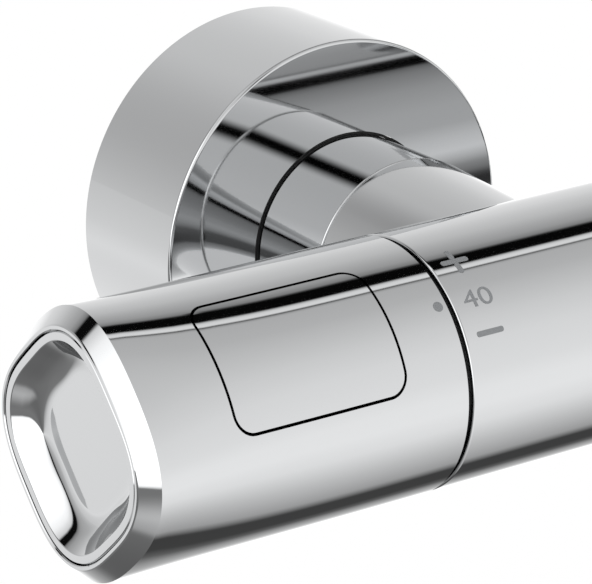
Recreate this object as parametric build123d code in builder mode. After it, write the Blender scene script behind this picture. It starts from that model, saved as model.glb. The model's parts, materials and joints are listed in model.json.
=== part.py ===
"""Thermostatic shower valve for a wall: a round bar with a temperature handle on its left
end, a flow and diverter handle on its right end, two wall unions behind, a socket for a
riser pipe on top and a hose outlet below.

Millimetres. The origin is on the wall, midway between the two water inlets and level with
the bar. X runs along the bar, Y goes into the wall, and Z is up.
A side is -1 for the hot, left half and +1 for the cold, right half.
"""

import math
import os

from build123d import *

# The bar
INLET_SPACING = 150.0
BAR_R = 21.5
SEAM_FROM_INLET = 30.5
FACE_FROM_BAR = 56.4
BAR_EDGE = 0.4
NOSE_R = 18.0
NOSE_LENGTH = 4.0
CAVITY_R = 13.5
THERMOSTAT_DEPTH = 58.0
DIVERTER_DEPTH = 35.0
CENTRE_BORE_R = 7.0
CHANNEL_R = 2.9
CHANNEL_OFFSET = 17.4
COLD_CHANNEL_FROM_END = 10.0

# The inlet necks and their check valves
NECK_R = 19.3
NECK_END = 38.5
NECK_EDGE = 1.2
SPIGOT_R = 13.1
SPIGOT_END = 50.0
INLET_BORE_R = 9.0
INLET_THROAT_R = 6.5
CHECK_START = 24.0
CHECK_LENGTH = 20.0
CHECK_WALL = 1.5
CHECK_END_T = 2.0
CHECK_SEAT_R = 5.5
CHECK_SPRING_R = 3.4
POPPET_R = 6.6
POPPET_T = 1.4
STEM_R = 1.4
CHECK_SPRING_TURNS = 6

# The wall unions
NUT_R = 19.2
NUT_LENGTH = 31.0
NUT_SHOULDER_R = 10.9
NUT_SHOULDER_T = 3.0
NUT_SKIRT_T = 1.5
GASKET_T = 1.6
FLANGE_T = 2.0
UNION_TUBE_R = 10.7
WALL_THREAD_R = 10.48
WALL_THREAD_LENGTH = 20.0
UNION_BORE_R = 7.0
SPANNER_FROM_FLANGE = 14.4
SPANNER_T = 5.0
OFFSET_ALONG = 2.2
OFFSET_UP = 1.4
SPANNER_R = 15.0
ROSETTE_R = 35.5
ROSETTE_DEPTH = 27.5
ROSETTE_WALL = 1.5
ROSETTE_HOLE_R = 20.0
ROSETTE_EDGE = 0.6
CARRIER_T = 3.0
CARRIER_HUB_R = 14.0
CARRIER_HUB_LENGTH = 8.0
CARRIER_SPOKE_WIDTH = 8.0
CARRIER_FROM_WALL = 1.0

# The handles
SEAM_GAP = 0.9
HANDLE_R = 21.57
HANDLE_LENGTH = 62.3
HANDLE_BEVEL = 2.8
HANDLE_END_R = 21.7
HANDLE_END_SQUARE = 0.91
RIM_R = 19.0
RIM_SQUARE = 0.98
FLAT_ANGLE = 42.1
SHELL_IN_R = 19.2
LIP = 0.75
CAP_DEPTH = 3.4
WEB_T = 1.5
WEB_HOLE_R = 15.5
CAP_BORDER = 1.4
CAP_DISH = 2.0
BOWL_R = 13.7
BOWL_SQUARE = 0.9
CAP_GAP = 0.15
BUTTON_NEAR = 12.3
BUTTON_FROM_END = 17.4
BUTTON_ARC = 63.2
BUTTON_CORNER = 3.5
BUTTON_GAP = 0.3
BUTTON_IN_R = 19.5
BUTTON_TRAVEL = 1.6
BUTTON_POST_R = 2.6
BUTTON_SPRING_TURNS = 4
STOP_RING_R = 19.9
STOP_RING_LENGTH = 3.9

# The carriers, spindles and screws inside the handles
CARRIER_TUBE_R = 12.6
CARRIER_BORE_R = 10.2
CARRIER_START = 9.0
CARRIER_DISC_T = 7.4
CARRIER_HUB_FROM = 30.0
SPINDLE_R = 4.0
SPINDLE_FROM_END = 11.4
JOURNAL_R = 5.0
NECK_TUBE_R = 9.0
NECK_TUBE_END = 12.0
JOURNAL_END = 13.0
SCREW_R = 2.45
SCREW_HEAD_R = 5.2
SCREW_HEAD_T = 3.0
SCREW_LENGTH = 12.0
SCREW_SOCKET = 2.0

# The cartridges
HOUSING_R = 13.3
HOUSING_START = 4.0
HOUSING_FRONT_T = 4.0
HOUSING_IN_R = 11.2
HOUSING_FLOOR_T = 2.0
HOUSING_FLOOR_R = 7.9
RETAINER_R = 16.8
RETAINER_FLANGE_T = 4.0
SEAL_R = 0.78
GROOVE_R = 11.7
GROOVE_WIDTH = 2.0
COLLAR_R = 8.0
COLLAR_T = 2.0
SPINDLE_THREAD_R = 5.5
SPINDLE_THREAD_LENGTH = 14.0
NUT_SLIDE_R = 10.9
NUT_SLIDE_START = 12.3
NUT_SLIDE_LENGTH = 8.0
CUP_LENGTH = 12.0
OVERLOAD_LENGTH = 9.3
WAX_HEAD_R = 8.6
WAX_HEAD_T = 2.5
WAX_STEM_R = 4.0
WAX_STEM_REACH = 5.0
SHUTTLE_START = 36.0
RETURN_SPRING_ROOM = 8.0
SHUTTLE_WALL = 1.7
SHUTTLE_WEB_T = 3.0
SHUTTLE_HOLE_R = 1.6
LIGHT_WIRE_R = 0.3
STRONG_WIRE_R = 0.6
OVERLOAD_TURNS = 4
RETURN_TURNS = 3
THERMOSTAT_SEALS = (12.0, 24.0, 39.0, THERMOSTAT_DEPTH - 3.0)
DIVERTER_SEALS = (12.0, 22.5)
HOUSING_PORT_R = 2.4
DISC_R = 10.3
DISC_T = 4.0
DISC_PORT_R = 2.4
DISC_PORT_RING = 5.8
DIVERTER_FLOOR_T = 12.0
DIVERTER_GASKET_T = 1.0
DIVERTER_GASKET_IN_R = 9.2

# The outlets
BOSS_R = 13.0
BOSS_HEIGHT = 30.0
PORT_R = 10.45
PORT_FLOOR = 14.0
COLLAR_OUT_R = 14.5
RISER_R = 11.05
RISER_SOCKET = 22.0
SOCKET_FLOOR = 2.0
THREAD_IN_PORT = 9.0
OUTLET_THREAD_R = 10.48
OUTLET_THREAD_LENGTH = 14.0
OUTLET_FLANGE_T = 6.0
OUTLET_BORE_R = 6.5
SET_SCREW_R = 2.0
SET_SCREW_FROM_TOP = 5.0
SET_SCREW_SOCKET = 1.5
RISER_SEALS_FROM_SEAT = (6.0, 11.0)

# Fits
FIT = 0.05
SLIDE = 0.08
CLEAR = 0.1
OVERLAP = 1.0

# Places worked out from the sizes above
INLET_X = INLET_SPACING / 2
SEAM_X = INLET_X + SEAM_FROM_INLET
BAR_Y = -(FACE_FROM_BAR + ROSETTE_DEPTH)
WALL_FROM_BAR = FACE_FROM_BAR + ROSETTE_DEPTH
BAR_AXIS = Axis((0, BAR_Y, 0), (1, 0, 0))
OUTLET_AXIS = Axis((0, BAR_Y, 0), (0, 0, 1))
SIDE_NAMES = {-1: "left", 1: "right"}
HANDLE_NAMES = {-1: "temperature", 1: "flow"}
BUTTON_NAMES = {-1: "safe_stop", 1: "eco_stop"}
HANDLE_SECTIONS = (
    (SEAM_GAP, 0.0, 0.0),
    (HANDLE_LENGTH - 38.3, 0.03, 0.03),
    (HANDLE_LENGTH - 20.3, 0.05, 0.25),
)
HANDLE_BEVEL_AT = HANDLE_LENGTH - HANDLE_BEVEL
BUTTON_FAR = HANDLE_LENGTH - BUTTON_FROM_END
SPINDLE_END = HANDLE_LENGTH - SPINDLE_FROM_END
CAP_FLOOR = HANDLE_LENGTH - CAP_DEPTH
CAVITY_END = CAP_FLOOR - WEB_T
COLLAR_AT = -(HOUSING_START + HOUSING_FRONT_T + CLEAR)
SHUTTLE_LENGTH = THERMOSTAT_DEPTH - HOUSING_FLOOR_T - RETURN_SPRING_ROOM - SHUTTLE_START
HOT_PORTS = SEAM_FROM_INLET
COLD_CHANNEL_END = THERMOSTAT_DEPTH - COLD_CHANNEL_FROM_END
COLD_PORTS = COLD_CHANNEL_END + CHANNEL_R
DIVERTER_END = -(DIVERTER_DEPTH - DIVERTER_GASKET_T)
FIXED_DISC_END = DIVERTER_END + DIVERTER_FLOOR_T
MOVING_DISC_START = FIXED_DISC_END + 2 * DISC_T + FIT
SET_SCREW_HEIGHT = BOSS_HEIGHT + SOCKET_FLOOR + RISER_SOCKET - SET_SCREW_FROM_TOP

os.makedirs("parts", exist_ok=True)


def save(piece, name):
    """Label a finished piece and write it as its own file."""
    piece.part.label = name
    export_step(piece.part, f"parts/{name}.step")


def bar_plane(side):
    """A plane through the bar's axis: local x runs out from the seam, local y is up."""
    return Plane(origin=(side * SEAM_X, BAR_Y, 0), x_dir=(side, 0, 0), z_dir=(0, -side, 0))


def end_plane(side, out):
    """A plane square to the bar, this far outside the seam. Angles count from the front up
    when they are multiplied by minus the side."""
    return Plane(origin=(side * (SEAM_X + out), BAR_Y, 0), x_dir=(0, -1, 0), z_dir=(side, 0, 0))


def inlet_plane(side):
    """A plane through an inlet's axis: local x runs from the bar to the wall, local y is up."""
    return Plane(origin=(side * INLET_X, BAR_Y, 0), x_dir=(0, 1, 0), z_dir=(1, 0, 0))


def inlet_axis(side):
    return Axis((side * INLET_X, BAR_Y, 0), (0, 1, 0))


def wall_centre(side):
    """The wall end of an offset union stands a little further out and higher."""
    return (side * (INLET_X + OFFSET_ALONG), BAR_Y, OFFSET_UP)


def wall_plane(side):
    return Plane(origin=wall_centre(side), x_dir=(0, 1, 0), z_dir=(1, 0, 0))


def wall_axis(side):
    return Axis(wall_centre(side), (0, 1, 0))


def outlet_plane(up):
    """A plane through the outlets' axis: local x is the height above the bar's axis."""
    return Plane(origin=(0, BAR_Y, 0), x_dir=(0, 0, up), z_dir=(0, up, 0))


def turned(plane, axis, outline):
    """A turned piece: its outline is a list of (distance along, radius)."""
    with BuildPart() as piece:
        with BuildSketch(plane):
            with BuildLine():
                Polyline(*outline, close=True)
            make_face()
        revolve(axis=axis)
    return piece


def squircle(side, out, radius, square):
    """A square with very round corners: its flats face the button and the quarter turns."""
    points = []
    for step in range(24):
        angle = math.radians(15 * step)
        reach = radius - square * math.cos(4 * angle)
        turn = -side * (math.radians(FLAT_ANGLE) + angle)
        points.append((reach * math.cos(turn), reach * math.sin(turn)))
    with BuildSketch(end_plane(side, out)) as sketch:
        with BuildLine():
            Spline(*points, periodic=True)
        make_face()
    return sketch.sketch


def coil_spring(start, direction, height, coil_r, wire_r, turns):
    """An open coil of round wire, from its start point along a direction."""
    with BuildPart() as spring:
        with BuildLine():
            coil = Helix(
                pitch=height / turns,
                height=height,
                radius=coil_r,
                center=start,
                direction=direction,
            )
        with BuildSketch(Plane(origin=coil @ 0, z_dir=coil % 0)):
            Circle(wire_r)
        sweep(is_frenet=True)
    return spring


def handle_skin(side):
    """The outside of a handle: round at the seam, nearly square at its bevelled end."""
    with BuildPart() as skin:
        for out, smaller, square in HANDLE_SECTIONS:
            add(squircle(side, out, HANDLE_R - smaller, square))
        add(squircle(side, HANDLE_BEVEL_AT, HANDLE_END_R, HANDLE_END_SQUARE))
        loft()
        add(squircle(side, HANDLE_BEVEL_AT, HANDLE_END_R, HANDLE_END_SQUARE))
        add(squircle(side, HANDLE_LENGTH, RIM_R, RIM_SQUARE))
        loft(ruled=True)
    return skin


def button_plane(side):
    """A plane square to the button's press, through the bar's axis and facing outwards."""
    turn = math.radians(FLAT_ANGLE)
    return Plane(
        origin=(side * (SEAM_X + (BUTTON_NEAR + BUTTON_FAR) / 2), BAR_Y, 0),
        x_dir=(1, 0, 0),
        z_dir=(0, -math.cos(turn), math.sin(turn)),
    )


def button_block(side, margin):
    """A block with the button's rounded outline, this much smaller all round."""
    length = BUTTON_FAR - BUTTON_NEAR - 2 * margin
    width = 2 * BAR_R * math.sin(math.radians(BUTTON_ARC / 2)) - 2 * margin
    with BuildPart() as block:
        with BuildSketch(button_plane(side)):
            RectangleRounded(length, width, BUTTON_CORNER - margin)
        extrude(amount=HANDLE_LENGTH)
    return block


def handle_shell(side):
    end_hole = squircle(side, CAP_FLOOR, RIM_R - LIP, RIM_SQUARE)
    with BuildPart() as shell:
        add(handle_skin(side).part)
        with BuildSketch(end_plane(side, SEAM_GAP)):
            Circle(SHELL_IN_R)
        extrude(amount=CAVITY_END - SEAM_GAP, mode=Mode.SUBTRACT)
        with BuildSketch(end_plane(side, SEAM_GAP)):
            Circle(STOP_RING_R + 3 * CLEAR)
        extrude(amount=STOP_RING_LENGTH, mode=Mode.SUBTRACT)
        with BuildSketch(end_plane(side, CAVITY_END)):
            Circle(WEB_HOLE_R)
        extrude(amount=WEB_T, mode=Mode.SUBTRACT)
        add(extrude(end_hole, CAP_DEPTH, dir=(side, 0, 0), mode=Mode.PRIVATE), mode=Mode.SUBTRACT)
        add(button_block(side, 0.0).part, mode=Mode.SUBTRACT)
    return shell


def handle_cap(side):
    """The cap in the handle's end, with a narrow border and a dished middle."""
    outline = squircle(side, CAP_FLOOR, RIM_R - LIP - CAP_GAP, RIM_SQUARE)
    brim = squircle(side, HANDLE_LENGTH - CAP_GAP, RIM_R - LIP - CAP_GAP - CAP_BORDER, RIM_SQUARE)
    bowl = squircle(side, HANDLE_LENGTH - CAP_GAP - CAP_DISH, BOWL_R, BOWL_SQUARE)
    with BuildPart() as cap:
        add(extrude(outline, CAP_DEPTH - CAP_GAP, dir=(side, 0, 0), mode=Mode.PRIVATE))
        add(loft([bowl, brim], mode=Mode.PRIVATE), mode=Mode.SUBTRACT)
    return cap


def push_button(side):
    """The button fills its window in the handle's wall and carries a spring post."""
    with BuildPart() as button:
        add(button_block(side, BUTTON_GAP).part)
        add(handle_skin(side).part, mode=Mode.INTERSECT)
        with BuildSketch(end_plane(side, 0)):
            Circle(BUTTON_IN_R)
        extrude(amount=HANDLE_LENGTH, mode=Mode.SUBTRACT)
        with BuildSketch(button_plane(side).offset(BUTTON_IN_R - BUTTON_TRAVEL)):
            Circle(BUTTON_POST_R)
        extrude(amount=BUTTON_TRAVEL + OVERLAP)
    return button


def button_spring(side):
    """A coil between the carrier's tube and the button, round the button's post."""
    wire_r = LIGHT_WIRE_R
    coil_r = BUTTON_POST_R + wire_r + 3 * CLEAR
    start = CARRIER_TUBE_R + wire_r + FIT
    end = math.sqrt(BUTTON_IN_R**2 - (coil_r + wire_r) ** 2) - wire_r - FIT
    plane = button_plane(side).offset(start)
    return coil_spring(plane.origin, plane.z_dir, end - start, coil_r, wire_r, BUTTON_SPRING_TURNS)


def handle_carrier(side):
    """The insert that fills the shell's end and grips the spindle's splines."""
    disc_start = CAVITY_END - CARRIER_DISC_T
    recess = CAVITY_END - SCREW_HEAD_T - 4 * CLEAR
    return turned(bar_plane(side), BAR_AXIS, [
        (CARRIER_START, CARRIER_BORE_R),
        (CARRIER_START, CARRIER_TUBE_R),
        (disc_start, CARRIER_TUBE_R),
        (disc_start, SHELL_IN_R - FIT),
        (CAVITY_END, SHELL_IN_R - FIT),
        (CAVITY_END, SCREW_HEAD_R + 2 * CLEAR),
        (recess, SCREW_HEAD_R + 2 * CLEAR),
        (recess, SCREW_R + CLEAR),
        (SPINDLE_END + CLEAR, SCREW_R + CLEAR),
        (SPINDLE_END + CLEAR, SPINDLE_R + FIT),
        (CARRIER_HUB_FROM, SPINDLE_R + FIT),
        (CARRIER_HUB_FROM, CARRIER_BORE_R),
    ])


def handle_screw(side):
    """A cap screw with a hexagon socket that pulls the handle on to its spindle."""
    seat = CAVITY_END - SCREW_HEAD_T - 4 * CLEAR
    with BuildPart() as screw:
        with BuildSketch(end_plane(side, seat - SCREW_LENGTH)):
            Circle(SCREW_R - FIT)
        extrude(amount=SCREW_LENGTH)
        with BuildSketch(end_plane(side, seat)):
            Circle(SCREW_HEAD_R)
        extrude(amount=SCREW_HEAD_T)
        with BuildSketch(end_plane(side, seat + SCREW_HEAD_T)):
            RegularPolygon(SCREW_R, 6)
        extrude(amount=-SCREW_SOCKET, mode=Mode.SUBTRACT)
    return screw


def stop_ring(side):
    """The dark ring on the bar's nose that shows in the seam and limits the turn."""
    return turned(bar_plane(side), BAR_AXIS, [
        (0, NOSE_R + FIT),
        (0, STOP_RING_R),
        (STOP_RING_LENGTH, STOP_RING_R),
        (STOP_RING_LENGTH, NOSE_R + FIT),
    ])


def retaining_nut(side):
    """A hexagon nut that holds a cartridge in the bar."""
    with BuildPart() as nut:
        with BuildSketch(end_plane(side, -HOUSING_START)):
            Circle(CAVITY_R - FIT)
        extrude(amount=HOUSING_START + NOSE_LENGTH)
        with BuildSketch(end_plane(side, NOSE_LENGTH)):
            RegularPolygon(RETAINER_R, 6)
        extrude(amount=RETAINER_FLANGE_T)
        with BuildSketch(end_plane(side, -HOUSING_START)):
            Circle(NECK_TUBE_R + FIT)
        extrude(amount=HOUSING_START + NOSE_LENGTH + RETAINER_FLANGE_T, mode=Mode.SUBTRACT)
    return nut


def mixer_body():
    """The cast bar with its noses, inlet necks, outlet bosses, cavities and channels."""
    with BuildPart() as body:
        with BuildSketch(Plane.YZ.offset(-SEAM_X)):
            with Locations((BAR_Y, 0)):
                Circle(BAR_R)
        extrude(amount=2 * SEAM_X)
        chamfer(body.edges().filter_by(GeomType.CIRCLE), BAR_EDGE)
        for side in (-1, 1):
            with BuildSketch(end_plane(side, 0)):
                Circle(NOSE_R)
            extrude(amount=NOSE_LENGTH)
            with BuildSketch(inlet_plane(side)):
                with BuildLine():
                    Polyline(
                        (0, 0),
                        (0, NECK_R),
                        (NECK_END - NECK_EDGE, NECK_R),
                        (NECK_END, NUT_R + FIT),
                        (NECK_END, SPIGOT_R),
                        (SPIGOT_END, SPIGOT_R),
                        (SPIGOT_END, 0),
                        close=True,
                    )
                make_face()
            revolve(axis=inlet_axis(side))
            with BuildSketch(outlet_plane(side)):
                with BuildLine():
                    Polyline(
                        (0, 0),
                        (0, BOSS_R),
                        (BOSS_HEIGHT, BOSS_R),
                        (BOSS_HEIGHT, 0),
                        close=True,
                    )
                make_face()
            revolve(axis=OUTLET_AXIS)
        with BuildSketch(end_plane(-1, NOSE_LENGTH)):
            Circle(CAVITY_R)
        extrude(amount=-(NOSE_LENGTH + THERMOSTAT_DEPTH), mode=Mode.SUBTRACT)
        with BuildSketch(end_plane(1, NOSE_LENGTH)):
            Circle(CAVITY_R)
        extrude(amount=-(NOSE_LENGTH + DIVERTER_DEPTH), mode=Mode.SUBTRACT)
        with BuildSketch(end_plane(-1, -THERMOSTAT_DEPTH)):
            Circle(CENTRE_BORE_R)
        extrude(amount=-(2 * SEAM_X - THERMOSTAT_DEPTH - DIVERTER_DEPTH), mode=Mode.SUBTRACT)
        for side in (-1, 1):
            with BuildSketch(inlet_plane(side)):
                with BuildLine():
                    Polyline(
                        (CHANNEL_OFFSET - CHANNEL_R, 0),
                        (CHANNEL_OFFSET - CHANNEL_R, INLET_THROAT_R),
                        (CHECK_START, INLET_THROAT_R),
                        (CHECK_START, INLET_BORE_R),
                        (SPIGOT_END, INLET_BORE_R),
                        (SPIGOT_END, 0),
                        close=True,
                    )
                make_face()
            revolve(axis=inlet_axis(side), mode=Mode.SUBTRACT)
            with BuildSketch(outlet_plane(side)):
                with BuildLine():
                    Polyline(
                        (PORT_FLOOR, 0),
                        (PORT_FLOOR, PORT_R),
                        (BOSS_HEIGHT, PORT_R),
                        (BOSS_HEIGHT, 0),
                        close=True,
                    )
                make_face()
            revolve(axis=OUTLET_AXIS, mode=Mode.SUBTRACT)
            with BuildSketch(Plane.YZ):
                with Locations((BAR_Y, side * CHANNEL_OFFSET)):
                    Circle(CHANNEL_R)
            extrude(amount=INLET_X, mode=Mode.SUBTRACT)
            with BuildSketch(Plane.XY):
                with Locations((INLET_X, BAR_Y)):
                    Circle(CHANNEL_R)
            extrude(amount=side * (CHANNEL_OFFSET + OVERLAP), mode=Mode.SUBTRACT)
        with BuildSketch(inlet_plane(-1)):
            with Locations((CHANNEL_OFFSET / 2, 0)):
                Rectangle(CHANNEL_OFFSET, 2 * CHANNEL_R)
        extrude(amount=CHANNEL_R, both=True, mode=Mode.SUBTRACT)
        cold_end = -SEAM_X + COLD_CHANNEL_END
        with BuildSketch(Plane.YZ.offset(cold_end)):
            with Locations((BAR_Y + CHANNEL_OFFSET, 0)):
                Circle(CHANNEL_R)
        extrude(amount=INLET_X - cold_end, mode=Mode.SUBTRACT)
        with BuildSketch(Plane.XZ.offset(-BAR_Y)):
            with Locations((cold_end + CHANNEL_R, 0)):
                Circle(CHANNEL_R)
        extrude(amount=-CHANNEL_OFFSET, mode=Mode.SUBTRACT)
    return body


def union_nut(side):
    """The smooth sleeve nut between the bar's neck and the rosette."""
    thread_end = SPIGOT_END + GASKET_T + FLANGE_T + FIT
    shoulder_end = thread_end + NUT_SHOULDER_T
    start = NECK_END + FIT
    end = start + NUT_LENGTH
    return turned(inlet_plane(side), inlet_axis(side), [
        (start, SPIGOT_R + FIT),
        (start, NUT_R),
        (end, NUT_R),
        (end, NUT_R - NUT_SKIRT_T),
        (shoulder_end, NUT_R - NUT_SKIRT_T),
        (shoulder_end, NUT_SHOULDER_R),
        (thread_end, NUT_SHOULDER_R),
        (thread_end, SPIGOT_R + FIT),
    ])


def union_gasket(side):
    return turned(inlet_plane(side), inlet_axis(side), [
        (SPIGOT_END, INLET_THROAT_R),
        (SPIGOT_END, SPIGOT_R - FIT),
        (SPIGOT_END + GASKET_T, SPIGOT_R - FIT),
        (SPIGOT_END + GASKET_T, INLET_THROAT_R),
    ])


def offset_union(side):
    """The offset wall connector: flange and tube on the inlet's axis, thread on the wall's."""
    flange_start = SPIGOT_END + GASKET_T
    block_start = flange_start + SPANNER_FROM_FLANGE
    block_end = block_start + SPANNER_T
    wall_end = WALL_FROM_BAR + WALL_THREAD_LENGTH
    with BuildPart() as union:
        with BuildSketch(inlet_plane(side)):
            with BuildLine():
                Polyline(
                    (flange_start, 0),
                    (flange_start, SPIGOT_R - FIT),
                    (flange_start + FLANGE_T, SPIGOT_R - FIT),
                    (flange_start + FLANGE_T, UNION_TUBE_R),
                    (block_end, UNION_TUBE_R),
                    (block_end, 0),
                    close=True,
                )
            make_face()
        revolve(axis=inlet_axis(side))
        with BuildSketch(wall_plane(side)):
            with BuildLine():
                Polyline(
                    (block_start, 0),
                    (block_start, UNION_TUBE_R),
                    (WALL_FROM_BAR, UNION_TUBE_R),
                    (WALL_FROM_BAR, WALL_THREAD_R),
                    (wall_end, WALL_THREAD_R),
                    (wall_end, 0),
                    close=True,
                )
            make_face()
        revolve(axis=wall_axis(side))
        with BuildSketch(Plane.XZ.offset(-(BAR_Y + block_start))):
            with Locations((side * INLET_X, 0)):
                RegularPolygon(SPANNER_R, 8)
        extrude(amount=-(block_end - block_start))
        with BuildSketch(inlet_plane(side)):
            with BuildLine():
                Polyline(
                    (flange_start, 0),
                    (flange_start, UNION_BORE_R),
                    (block_end, UNION_BORE_R),
                    (block_end, 0),
                    close=True,
                )
            make_face()
        revolve(axis=inlet_axis(side), mode=Mode.SUBTRACT)
        with BuildSketch(wall_plane(side)):
            with BuildLine():
                Polyline(
                    (block_end - OVERLAP, 0),
                    (block_end - OVERLAP, UNION_BORE_R),
                    (wall_end, UNION_BORE_R),
                    (wall_end, 0),
                    close=True,
                )
            make_face()
        revolve(axis=wall_axis(side), mode=Mode.SUBTRACT)
    return union


def rosette(side):
    """The deep round wall cover. Its hole is round the nut and its rim is round the thread."""
    with BuildPart() as cover:
        with BuildSketch(wall_plane(side)):
            with BuildLine():
                Polyline(
                    (FACE_FROM_BAR, 0),
                    (FACE_FROM_BAR, ROSETTE_R - ROSETTE_EDGE),
                    (FACE_FROM_BAR + ROSETTE_EDGE, ROSETTE_R),
                    (WALL_FROM_BAR, ROSETTE_R),
                    (WALL_FROM_BAR, ROSETTE_R - ROSETTE_WALL),
                    (FACE_FROM_BAR + ROSETTE_WALL, ROSETTE_R - ROSETTE_WALL),
                    (FACE_FROM_BAR + ROSETTE_WALL, 0),
                    close=True,
                )
            make_face()
        revolve(axis=wall_axis(side))
        with BuildSketch(Plane.XZ.offset(-(BAR_Y + FACE_FROM_BAR))):
            with Locations((side * INLET_X, 0)):
                Circle(ROSETTE_HOLE_R)
        extrude(amount=-2 * ROSETTE_WALL, mode=Mode.SUBTRACT)
    return cover


def rosette_carrier(side):
    """The hub on a union's wall end, with three spokes that hold the rosette."""
    back = WALL_FROM_BAR - CARRIER_FROM_WALL
    reach = ROSETTE_R - ROSETTE_WALL - FIT
    centre = (wall_centre(side)[0], OFFSET_UP)
    with BuildPart() as carrier:
        with BuildSketch(Plane.XZ.offset(-(BAR_Y + back))):
            with Locations(centre):
                with PolarLocations(reach / 2, 3, start_angle=90):
                    Rectangle(reach, CARRIER_SPOKE_WIDTH)
                Circle(reach, mode=Mode.INTERSECT)
        extrude(amount=CARRIER_T)
        with BuildSketch(Plane.XZ.offset(-(BAR_Y + back))):
            with Locations(centre):
                Circle(CARRIER_HUB_R)
        extrude(amount=CARRIER_HUB_LENGTH)
        with BuildSketch(Plane.XZ.offset(-(BAR_Y + back))):
            with Locations(centre):
                Circle(UNION_TUBE_R + FIT)
        extrude(amount=CARRIER_HUB_LENGTH, mode=Mode.SUBTRACT)
    return carrier


def check_body(side):
    """The cage of a check valve, with a guide for the stem at the bar's end."""
    end = CHECK_START + CHECK_LENGTH
    outer = INLET_BORE_R - FIT
    with BuildPart() as cage:
        with BuildSketch(inlet_plane(side)):
            with BuildLine():
                Polyline(
                    (CHECK_START, STEM_R + SLIDE),
                    (CHECK_START, outer),
                    (end, outer),
                    (end, CHECK_SEAT_R),
                    (end - CHECK_END_T, CHECK_SEAT_R),
                    (end - CHECK_END_T, outer - CHECK_WALL),
                    (CHECK_START + CHECK_END_T, outer - CHECK_WALL),
                    (CHECK_START + CHECK_END_T, STEM_R + SLIDE),
                    close=True,
                )
            make_face()
        revolve(axis=inlet_axis(side))
        with BuildSketch(Plane.XZ.offset(-(BAR_Y + CHECK_START))):
            with Locations((side * INLET_X, 0)):
                with PolarLocations((STEM_R + outer - CHECK_WALL) / 2, 4):
                    Circle(STEM_R)
        extrude(amount=-CHECK_END_T, mode=Mode.SUBTRACT)
    return cage


def check_poppet(side):
    """The disc and stem that water lifts off the seat, towards the bar."""
    face = CHECK_START + CHECK_LENGTH - CHECK_END_T - SLIDE
    return turned(inlet_plane(side), inlet_axis(side), [
        (CHECK_START, 0),
        (CHECK_START, STEM_R),
        (face - POPPET_T, STEM_R),
        (face - POPPET_T, POPPET_R),
        (face, POPPET_R),
        (face, 0),
    ])


def check_spring(side):
    """The light coil that closes a check valve."""
    wire_r = LIGHT_WIRE_R
    start = CHECK_START + CHECK_END_T + wire_r + FIT
    end = CHECK_START + CHECK_LENGTH - CHECK_END_T - SLIDE - POPPET_T - wire_r - FIT
    place = (side * INLET_X, BAR_Y + start, 0)
    return coil_spring(place, (0, 1, 0), end - start, CHECK_SPRING_R, wire_r, CHECK_SPRING_TURNS)


def spindle(side, inner_end):
    """The shaft that a handle turns, with a journal in the cartridge's neck and a collar."""
    with BuildPart() as shaft:
        with BuildSketch(bar_plane(side)):
            with BuildLine():
                Polyline(
                    (SPINDLE_END, 0),
                    (SPINDLE_END, SPINDLE_R),
                    (JOURNAL_END, SPINDLE_R),
                    (JOURNAL_END, JOURNAL_R),
                    (COLLAR_AT, JOURNAL_R),
                    (COLLAR_AT, COLLAR_R),
                    (COLLAR_AT - COLLAR_T, COLLAR_R),
                    (COLLAR_AT - COLLAR_T, SPINDLE_THREAD_R),
                    (inner_end, SPINDLE_THREAD_R),
                    (inner_end, 0),
                    close=True,
                )
            make_face()
        revolve(axis=BAR_AXIS)
        with BuildSketch(end_plane(side, SPINDLE_END)):
            Circle(SCREW_R)
        extrude(amount=-SCREW_LENGTH, mode=Mode.SUBTRACT)
    return shaft


def housing_outline(seal_places, inner_end):
    """The outer outline of a cartridge, from its neck to its inner end, with seal grooves."""
    outline = [
        (NECK_TUBE_END, NECK_TUBE_R),
        (-HOUSING_START, NECK_TUBE_R),
        (-HOUSING_START, HOUSING_R),
    ]
    for place in seal_places:
        outline.append((-place + GROOVE_WIDTH / 2, HOUSING_R))
        outline.append((-place + GROOVE_WIDTH / 2, GROOVE_R))
        outline.append((-place - GROOVE_WIDTH / 2, GROOVE_R))
        outline.append((-place - GROOVE_WIDTH / 2, HOUSING_R))
    outline.append((inner_end, HOUSING_R))
    return outline


def seals(side, places):
    """The round seals in a cartridge's grooves."""
    with BuildPart() as rings:
        with BuildSketch(bar_plane(side)):
            for place in places:
                with Locations((-place, GROOVE_R + FIT + SEAL_R)):
                    Circle(SEAL_R)
        revolve(axis=BAR_AXIS)
    return rings


def thermostat_housing():
    front = -(HOUSING_START + HOUSING_FRONT_T)
    end = -THERMOSTAT_DEPTH
    with BuildPart() as housing:
        with BuildSketch(bar_plane(-1)):
            with BuildLine():
                Polyline(
                    *housing_outline(THERMOSTAT_SEALS, end),
                    (end, HOUSING_FLOOR_R),
                    (end + HOUSING_FLOOR_T, HOUSING_FLOOR_R),
                    (end + HOUSING_FLOOR_T, HOUSING_IN_R),
                    (front, HOUSING_IN_R),
                    (front, JOURNAL_R + FIT),
                    (NECK_TUBE_END, JOURNAL_R + FIT),
                    close=True,
                )
            make_face()
        revolve(axis=BAR_AXIS)
        for place in (HOT_PORTS, COLD_PORTS):
            for turn in range(6):
                angle = math.radians(60 * turn)
                radial = Plane(
                    origin=(-SEAM_X + place, BAR_Y, 0),
                    x_dir=(1, 0, 0),
                    z_dir=(0, math.cos(angle), math.sin(angle)),
                )
                with BuildSketch(radial):
                    Circle(HOUSING_PORT_R)
                extrude(amount=HOUSING_R + OVERLAP, mode=Mode.SUBTRACT)
    return housing


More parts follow.
